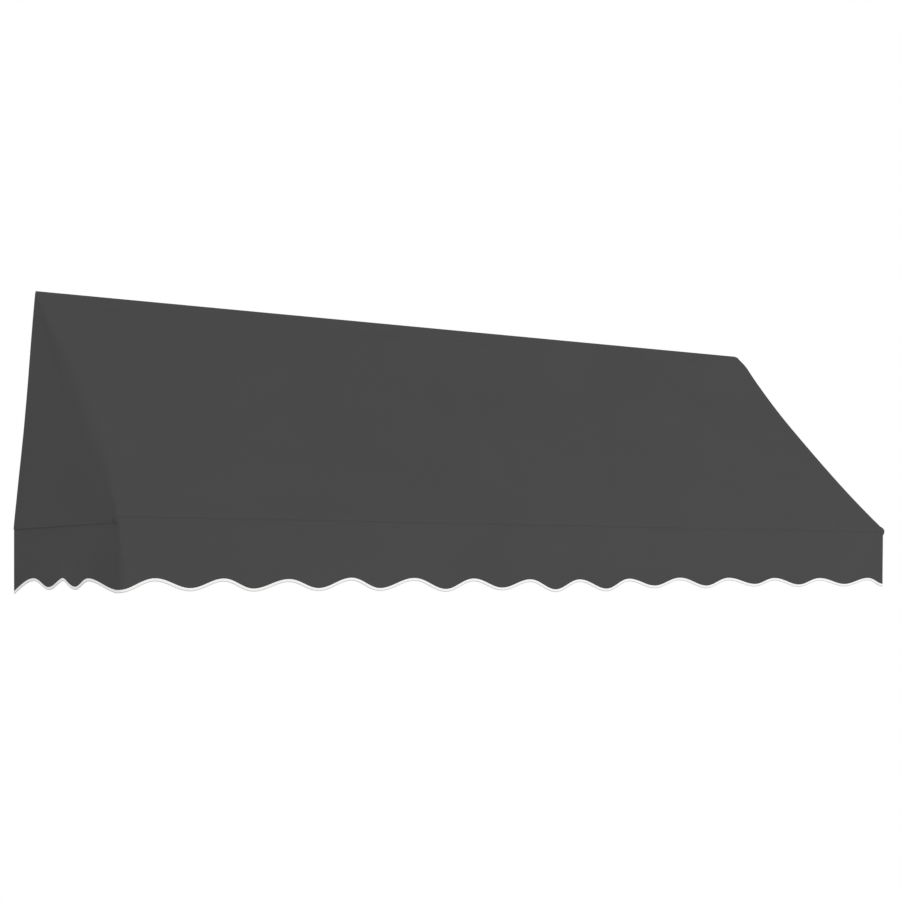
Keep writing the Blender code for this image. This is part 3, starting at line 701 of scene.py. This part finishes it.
# Where each scallop hangs lowest and each arch between them is highest, and how far below the
# arches' common level they are. They were cut by hand, so no two are alike.
FRONT_HEM = ((-1.750, 0.0377), (-1.623, -0.0006), (-1.500, 0.0320), (-1.378, 0.0002),
             (-1.268, 0.0342), (-1.135, 0.0024), (-1.023, 0.0334), (-0.889, -0.0023),
             (-0.776, 0.0343), (-0.636, -0.0011), (-0.500, 0.0386), (-0.379, 0.0008),
             (-0.255, 0.0344), (-0.128, 0.0040), (-0.008, 0.0420), (0.105, 0.0045),
             (0.230, 0.0400), (0.343, 0.0020), (0.473, 0.0290), (0.600, -0.0017),
             (0.736, 0.0299), (0.859, -0.0013), (1.000, 0.0240), (1.105, -0.0003),
             (1.247, 0.0268), (1.368, 0.0002), (1.509, 0.0252), (1.653, -0.0005),
             (1.750, 0.0262))
# The same for each side, from the wall (0) to the corner (1). The first turning point lies past
# the wall end, because the strip is cut off there.
SIDE_HEM = {-1: ((-0.12, 0.0760), (0.170, 0.0), (0.322, 0.0308), (0.521, -0.0009),
                 (0.702, 0.0278), (0.809, -0.0001), (1.0, 0.0377)),
            1: ((-0.10, 0.0), (0.075, 0.0275), (0.245, 0.0), (0.422, 0.0285), (0.555, 0.0),
                (0.705, 0.0250), (0.890, -0.0010), (1.0, 0.0250))}


def waved(hem, place):
    """How far a hem hangs below its arches' level, in soft waves between its turning points."""
    for (start, high), (end, low) in zip(hem, hem[1:]):
        if place <= end:
            share = max(0.0, (place - start) / (end - start))
            return high + (low - high) * (0.5 - 0.5 * math.cos(math.pi * share))
    return hem[-1][1]


def side_share(y):
    """How far along a side a place is, from the wall (0) to the corner (1)."""
    return min((WING_REAR.y - y) / (WING_REAR.y - SIDE_END_Y), 1.0)


def front_hem(x, y):
    """Level of the front valance's hem, also where it turns the corners."""
    side = -1 if x < 0 else 1
    turned = waved(SIDE_HEM[side], side_share(y)) - SIDE_HEM[side][-1][1]
    return ARCH_Z - waved(FRONT_HEM, x) - turned


def front_sway(x, fall):
    """How far the hanging cloth leaves its plane: soft pleats that grow towards the hem."""
    pleat = sum(part * math.sin(x * turns + start) for part, turns, start in PLEATS)
    inside = 1 - abs(x / HALF_WIDTH) ** 10
    return PLEAT * fall * fall * pleat * inside


def corner_radius(side, fall):
    """How roundly the strip turns a corner, from its top (0) to its hem (1)."""
    return CORNER_TOP + (CORNER_HEM[side] - CORNER_TOP) * smooth(fall)


def front_path(fall):
    """Points of the front strip in plan at one level, round both corners, as (x, y)."""
    half = HALF_WIDTH - LAYER
    front = FRONT_Y + LAYER
    ends = {}
    for side in (-1, 1):
        radius = corner_radius(side, fall)
        ends[side] = [(side * half, front + radius + CORNER_LAP * (1 - n / CORNER_LAP_STEPS))
                      for n in range(CORNER_LAP_STEPS)]
        for step in range(CORNER_STEPS + 1):
            angle = math.pi / 2 * step / CORNER_STEPS
            ends[side].append((side * (half - radius * (1 - math.cos(angle))),
                               front + radius * (1 - math.sin(angle))))
    left, right = ends[-1][-1][0], ends[1][-1][0]
    pitch = (right - left) / FRONT_COLUMNS
    straight = [(left + pitch * n, front) for n in range(1, FRONT_COLUMNS)]
    return ends[-1] + straight + ends[1][::-1]


def front_point(x, y, fall):
    """A point of the hanging strip: its pleats, and the dome over the bar's end."""
    z = -RISE + (front_hem(x, y) - INTO_TAPE + RISE) * fall
    point = Vector((x, y + front_sway(x, fall), z))
    if y > FRONT_Y + 2 * LAYER:
        point.x += math.copysign(cap_bulge(point), x)
    return point


falls = stations((0.0, 0.2, 9), (0.2, 1.0, 12))
grid = []
for step in range(LAP_STEPS + 1):
    lap = round_axis(BAR_AXIS, LAP, LAP_FROM + LAP_TURN * step / LAP_STEPS)
    grid.append([Vector((x, lap.y, lap.z)) for x, y in front_path(0.0)])
for fall in falls:
    grid.append([front_point(x, y, fall) for x, y in front_path(fall)])
front_valance = cloth_mesh("front_valance_cloth", grid, CLOTH)
coat(charcoal_cloth, front_valance)
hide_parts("front_valance")
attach(front_valance, "front_bar")

# One row of stitches along its top, which stops three columns short of each corner.
SEAM_FALL = 0.075
CORNER_POINTS = CORNER_LAP_STEPS + CORNER_STEPS + 1 + 3
seam = front_path(SEAM_FALL)[CORNER_POINTS:-CORNER_POINTS]
run = [front_point(x, y, SEAM_FALL) + Vector((0.0, -CLOTH / 2, 0.0)) for x, y in seam]
front_stitching = stitches("front_valance_stitching", [(run, [Vector((0.0, -1.0, 0.0))] * len(run))],
                           grey_thread)
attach(front_stitching, "front_bar")

# Side valances
# Each hangs from the wing's lower seam and has about three scallops. Nothing stretches its hem,
# which swings in near the wall and out near the corner.

TUCK = 0.012
SWING_IN = 0.016
SWING_OUT = 0.030
BEHIND_CORNER = 0.0015


def side_swing(share, fall):
    """Plan swing of the cloth, inboard near the wall (0) and outboard near the corner (1)."""
    inboard = SWING_IN * math.sin(math.pi * min(share / 0.5, 1.0))
    outboard = SWING_OUT * math.sin(math.pi * max((share - 0.5) / 0.5, 0.0))
    return (inboard - outboard) * fall ** 1.5


def side_point(side, share, fall, raised=INTO_TAPE):
    """A point of a side valance, from the edge tucked behind the wing (0) to its hem (1)."""
    seam = WING_REAR.lerp(WING_FRONT, share)
    front = FRONT_Y + LAYER + corner_radius(side, fall) + BEHIND_CORNER
    y = WING_REAR.y + (front - WING_REAR.y) * share
    hem = ARCH_Z - waved(SIDE_HEM[side], side_share(y)) - raised
    point = Vector((side * (seam.x - 2 * LAYER - side_swing(share, fall)), y,
                    seam.z + TUCK + (hem - seam.z - TUCK) * fall))
    point.x += side * cap_bulge(point)
    return point


def side_hem(side, share):
    """A point of a side valance's hem, from the wall (0) to the corner (1)."""
    return side_point(side, share, 1.0, raised=0.0)


def fold_with_arm(piece, name):
    """Let a side piece ride its arm, with its own copy of its mesh."""
    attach(piece, "arm_" + name)
    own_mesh(piece)


side_shares = stations((0.0, 0.94, 76), (0.94, 1.0, 14))
for side, name in ((-1, "left"), (1, "right")):
    grid = [[side_point(side, share, fall) for share in side_shares] for fall in falls]
    valance = cloth_mesh("side_valance_cloth_" + name, grid, CLOTH)
    coat(charcoal_cloth, valance)
    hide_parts("side_valance_" + name)
    fold_with_arm(valance, name)

# Binding
# White polyester tape, folded in half over the scalloped edge and sewn through. Its fold is
# round, and its underside is painted a pale grey, as painted shade.

TAPE_HALF = 0.0016
TAPE_THICKNESS = 0.0005
TAPE_HEIGHT = 0.0100
TAPE_LEVELS = (-0.0004, 0.003, 0.0055)
TAPE_FOLD_STEPS = 8
SHARP_TAPE = 50

# Woven tape reads as a clean matt white with fine ribs, 0.5 mm apart and drawn at 1.5 mm. Along
# its fold it is painted grey, as painted shade under the rolled edge.
RIB = 0.0015
SEWN_AT = 0.0035
FOLD_SHADE_PLACE = 0.0092
FOLD_SHADE_WIDTH = 0.0030
white_tape, tree, shader = finish_named("woven_tape_white", Sheen_Weight=0.1, IOR=1.45)
threads = add_node(tree, "ShaderNodeUVMap", {"uv_map": "Threads"})
ribs = add_node(tree, "ShaderNodeTexWave",
                {"bands_direction": "DIAGONAL", "Scale": band_scale(RIB)},
                {"Vector": threads.outputs["UV"]})
# The ribs' crests are painted lighter than their troughs, as painted shade.
tone = add_node(tree, "ShaderNodeMix", {"data_type": "RGBA", 6: linear("#F4F4F3"), 7: linear("#FCFCFB")},
                {0: ribs.outputs["Fac"]})
across = add_node(tree, "ShaderNodeSeparateXYZ", None, {"Vector": threads.outputs["UV"]})
# A grey band along the fold, painted as the shade under the rolled edge.
off_fold = add_node(tree, "ShaderNodeMath", {"operation": "SUBTRACT", 1: FOLD_SHADE_PLACE},
                    {0: across.outputs["Y"]})
off_fold = add_node(tree, "ShaderNodeMath", {"operation": "ABSOLUTE"}, {0: off_fold.outputs[0]})
fold_shade = add_node(tree, "ShaderNodeMapRange",
                {"interpolation_type": "SMOOTHSTEP", "From Min": 0.0, "From Max": FOLD_SHADE_WIDTH,
                 "To Min": 1.0, "To Max": 0.0}, {"Value": off_fold.outputs[0]})
tone = add_node(tree, "ShaderNodeMix", {"data_type": "RGBA", 7: linear("#C4C4C3")},
                {0: fold_shade.outputs["Result"], 6: tone.outputs[2]})
tree.links.new(tone.outputs[2], shader.inputs["Base Color"])
dry = add_node(tree, "ShaderNodeMapRange", {"To Min": 0.86, "To Max": 0.76},
               {"Value": ribs.outputs["Fac"]})
tree.links.new(dry.outputs["Result"], shader.inputs["Roughness"])
relief = add_node(tree, "ShaderNodeBump", {"Strength": 0.3, "Distance": 0.0002},
                  {"Height": ribs.outputs["Fac"]})
tree.links.new(relief.outputs["Normal"], shader.inputs["Normal"])

white_thread = spun_thread("spun_polyester_thread_white", "#DDDDDC", "#F6F6F5")


def tape_section():
    """The folded tape's section as (out of the cloth, down the cloth), a closed loop."""
    outer = [(TAPE_HALF, level) for level in TAPE_LEVELS]
    bottom = TAPE_HEIGHT - TAPE_HALF
    for n in range(1, TAPE_FOLD_STEPS):
        angle = math.pi * n / TAPE_FOLD_STEPS
        outer.append((TAPE_HALF * math.cos(angle), bottom + TAPE_HALF * math.sin(angle)))
    outer += [(-TAPE_HALF, level) for level in reversed(TAPE_LEVELS)]
    inside = TAPE_HALF - TAPE_THICKNESS
    inner = []
    for out, drop in reversed(outer):
        if drop > bottom:
            out, drop = out * inside / TAPE_HALF, bottom + (drop - bottom) * inside / TAPE_HALF
        else:
            out = math.copysign(inside, out)
        inner.append((out, drop))
    return outer + inner


def bound_edge(name, line, outward):
    """Sweep the folded tape along a hem and sew it on; outward gives the cloth's outer side."""
    line = np.array(line, float)
    along = np.gradient(line, axis=0)
    along /= np.linalg.norm(along, axis=1)[:, None]
    outward = np.array(outward, float)
    down = np.cross(outward, along)
    down /= np.linalg.norm(down, axis=1)[:, None]
    down *= np.where(down[:, 2:] > 0, -1.0, 1.0)
    out = np.cross(along, down)
    out *= np.where((out * outward).sum(1)[:, None] < 0, -1.0, 1.0)
    section = tape_section()
    points = []
    for k in range(len(line)):
        for o, d in section:
            points.append(line[k] + out[k] * o + down[k] * d)
    sides = len(section)
    faces = []
    places = []
    run = np.concatenate([[0.0], np.cumsum(np.linalg.norm(np.diff(line, axis=0), axis=1))])
    rim = np.concatenate([[0.0], np.cumsum([math.dist(section[n], section[(n + 1) % sides])
                                            for n in range(sides)])])
    for k in range(len(line) - 1):
        for n in range(sides):
            m = (n + 1) % sides
            a = k * sides
            b = a + sides
            faces.append((a + n, a + m, b + m, b + n))
            places += [(run[k], rim[n]), (run[k], rim[n + 1]), (run[k + 1], rim[n + 1]),
                       (run[k + 1], rim[n])]
    half = sides // 2
    for start, turn in ((0, 1), ((len(line) - 1) * sides, -1)):
        for n in range(half - 1):
            ring = [start + n, start + n + 1, start + sides - 2 - n, start + sides - 1 - n]
            faces.append(tuple(ring[::turn]))
            places += [(0.0, 0.0)] * 4
    mesh = bpy.data.meshes.new(name)
    mesh.from_pydata([tuple(p) for p in points], [], faces)
    layer = mesh.uv_layers.new(name="Threads")
    layer.uv.foreach_set("vector", np.array(places, np.float32).ravel())
    work = bmesh.new()
    work.from_mesh(mesh)
    bmesh.ops.recalc_face_normals(work, faces=work.faces)
    work.to_mesh(mesh)
    work.free()
    mesh.shade_smooth()
    mesh.set_sharp_from_angle(angle=math.radians(SHARP_TAPE))
    item = bpy.data.objects.new(name, mesh)
    bpy.context.collection.objects.link(item)
    coat(white_tape, item)
    sewn = line + out * TAPE_HALF + down * SEWN_AT
    return item, stitches(name + "_stitching", [(sewn, out)], white_thread)


front_edge = []
outward = []
for x, y in front_path(1.0):
    front_edge.append(Vector((x, y + front_sway(x, 1.0), front_hem(x, y))))
    side = -1 if x < 0 else 1
    radius = corner_radius(side, 1.0)
    turned = min(max((y - FRONT_Y - LAYER) / radius, 0.0), 1.0)
    outward.append((side * turned, -math.sqrt(1 - turned * turned), 0.0))
front_tape, front_tape_stitching = bound_edge("front_binding_tape", front_edge, outward)
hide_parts("front_binding")
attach(front_tape, "front_bar")
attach(front_tape_stitching, "front_bar")

TAPE_STEPS = 120
for side, name in ((-1, "left"), (1, "right")):
    side_edge = [side_hem(side, n / TAPE_STEPS) for n in range(TAPE_STEPS + 1)]
    tape, sewing = bound_edge("side_binding_tape_" + name, side_edge,
                              [(side, 0.0, 0.0)] * len(side_edge))
    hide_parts("side_binding_" + name)
    for piece in (tape, sewing):
        fold_with_arm(piece, name)

# Floor
# A plain white board 2.75 m below the rail. Near the awning it takes the shadow; further out it
# fades to the white of the background, by its distance from a place under the awning.

FLOOR_Z = -2.75
FLOOR_HALF = 40
FADE_Y = -0.9
FADE_START = 1.216
FADE_END = 2.24


def seen_rays(tree):
    """1 for the rays that the eye follows, straight, in a mirror or through glass, and else 0."""
    rays = add_node(tree, "ShaderNodeLightPath")
    seen = add_node(tree, "ShaderNodeMath", {"operation": "MAXIMUM"},
                    {0: rays.outputs["Is Camera Ray"], 1: rays.outputs["Is Glossy Ray"]})
    seen = add_node(tree, "ShaderNodeMath", {"operation": "MAXIMUM"},
                    {0: seen.outputs[0], 1: rays.outputs["Is Transmission Ray"]})
    return seen.outputs[0]


floor_corners = [(x * FLOOR_HALF, y * FLOOR_HALF, FLOOR_Z)
                 for x, y in ((-1, -1), (1, -1), (1, 1), (-1, 1))]
floor_mesh = bpy.data.meshes.new("floor")
floor_mesh.from_pydata(floor_corners, [], [(0, 1, 2, 3)])
floor = bpy.data.objects.new("floor", floor_mesh)
bpy.context.collection.objects.link(floor)
painted_board, tree, shader = finish_named("painted_board_white", Roughness=0.9)
shader.inputs["Base Color"].default_value = linear("#F0F0F0")
place = add_node(tree, "ShaderNodeTexCoord")
flat_place = add_node(tree, "ShaderNodeMapping",
                      {"Location": (0.0, -FADE_Y, 0.0), "Scale": (1.0, 1.0, 0.0)},
                      {"Vector": place.outputs["Object"]})
away = add_node(tree, "ShaderNodeVectorMath", {"operation": "LENGTH"},
                {0: flat_place.outputs["Vector"]})
fade = add_node(tree, "ShaderNodeMapRange",
                {"interpolation_type": "SMOOTHSTEP", "From Min": FADE_START, "From Max": FADE_END},
                {"Value": away.outputs["Value"]})
share_white = add_node(tree, "ShaderNodeMath", {"operation": "MULTIPLY"},
                       {0: seen_rays(tree), 1: fade.outputs["Result"]})
white = add_node(tree, "ShaderNodeEmission", {"Color": (1.0, 1.0, 1.0, 1.0), "Strength": 1.0})
blend = add_node(tree, "ShaderNodeMixShader", None,
                 {0: share_white.outputs[0], 1: shader.outputs["BSDF"], 2: white.outputs["Emission"]})
output = tree.nodes["Material Output"]
tree.links.new(blend.outputs["Shader"], output.inputs["Surface"])
floor_mesh.materials.append(painted_board)

# Light
# An even white surround, with one wide soft lamp ahead of the awning and to its right, so that
# the front is a little brighter than the left wing.

world = bpy.data.worlds.new("surround")
bpy.context.scene.world = world
world.use_nodes = True
tree = world.node_tree
even = tree.nodes["Background"]
even.inputs["Color"].default_value = (1.0, 1.0, 1.0, 1.0)
even.inputs["Strength"].default_value = 0.84
backdrop = add_node(tree, "ShaderNodeBackground", {"Color": (1.0, 1.0, 1.0, 1.0), "Strength": 1.0})
pick = add_node(tree, "ShaderNodeMixShader", None,
                {0: seen_rays(tree), 1: even.outputs["Background"], 2: backdrop.outputs["Background"]})
tree.links.new(pick.outputs["Shader"], tree.nodes["World Output"].inputs["Surface"])

lamp_data = bpy.data.lights.new("soft_lamp", "AREA")
lamp_data.shape = "RECTANGLE"
lamp_data.size = 6.0
lamp_data.size_y = 4.0
lamp_data.energy = 155.0
lamp = bpy.data.objects.new("soft_lamp", lamp_data)
lamp.location = (2.5, -9.0, -1.0)
aim = Vector((0.0, -0.4, -0.6)) - lamp.location
lamp.rotation_euler = aim.to_track_quat("-Z", "Y").to_euler()
bpy.context.collection.objects.link(lamp)

# Camera
# A plain perspective view, level with the bottom of the awning and to its left, a little over 30
# degrees off its front.

camera_data = bpy.data.cameras.new("camera")
camera_data.sensor_width = 36.0
camera_data.lens = 68.03
camera_data.shift_y = 0.1408
camera_data.clip_end = 200.0
camera = bpy.data.objects.new("camera", camera_data)
camera.location = (-3.8171, -6.0717, -1.0269)
camera.rotation_euler = (math.radians(90), 0.0, math.radians(-32.894))
bpy.context.collection.objects.link(camera)
bpy.context.scene.camera = camera
bpy.context.scene.view_settings.view_transform = "Standard"
